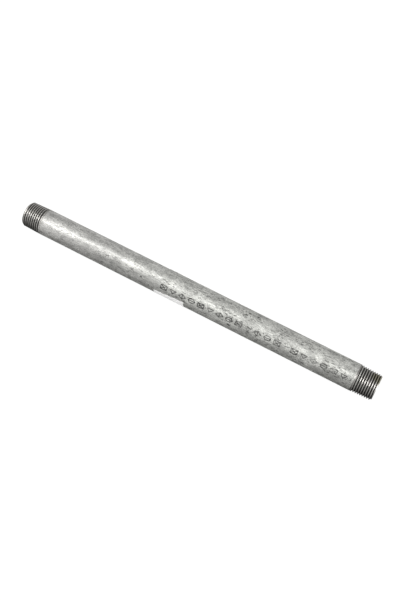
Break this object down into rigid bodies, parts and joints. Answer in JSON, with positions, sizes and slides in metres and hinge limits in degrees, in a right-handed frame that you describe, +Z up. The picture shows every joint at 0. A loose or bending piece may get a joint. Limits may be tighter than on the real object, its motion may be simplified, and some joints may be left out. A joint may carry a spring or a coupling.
{
  "type": "threaded pipe nipple",
  "caption": "Straight galvanised steel pipe with a taper pipe thread on each end and a paper label round its underside; joins two female-threaded fittings.",
  "frame": {"origin": "on the pipe's axis, at the middle of its length", "axes": "+X along the pipe, +Z up with the pipe lying level and the label underneath, +Y across it"},
  "size_m": [0.3048, 0.0216, 0.0214],
  "materials": {
    "galvanised_steel": "hot-dip zinc, streaked along the pipe, with bare cut steel on the threads",
    "label_paper": "matt white self-adhesive paper"
  },
  "bodies": {
    "root": {"pipe": "galvanised_steel", "label": "label_paper"}
  },
  "joints": []
}
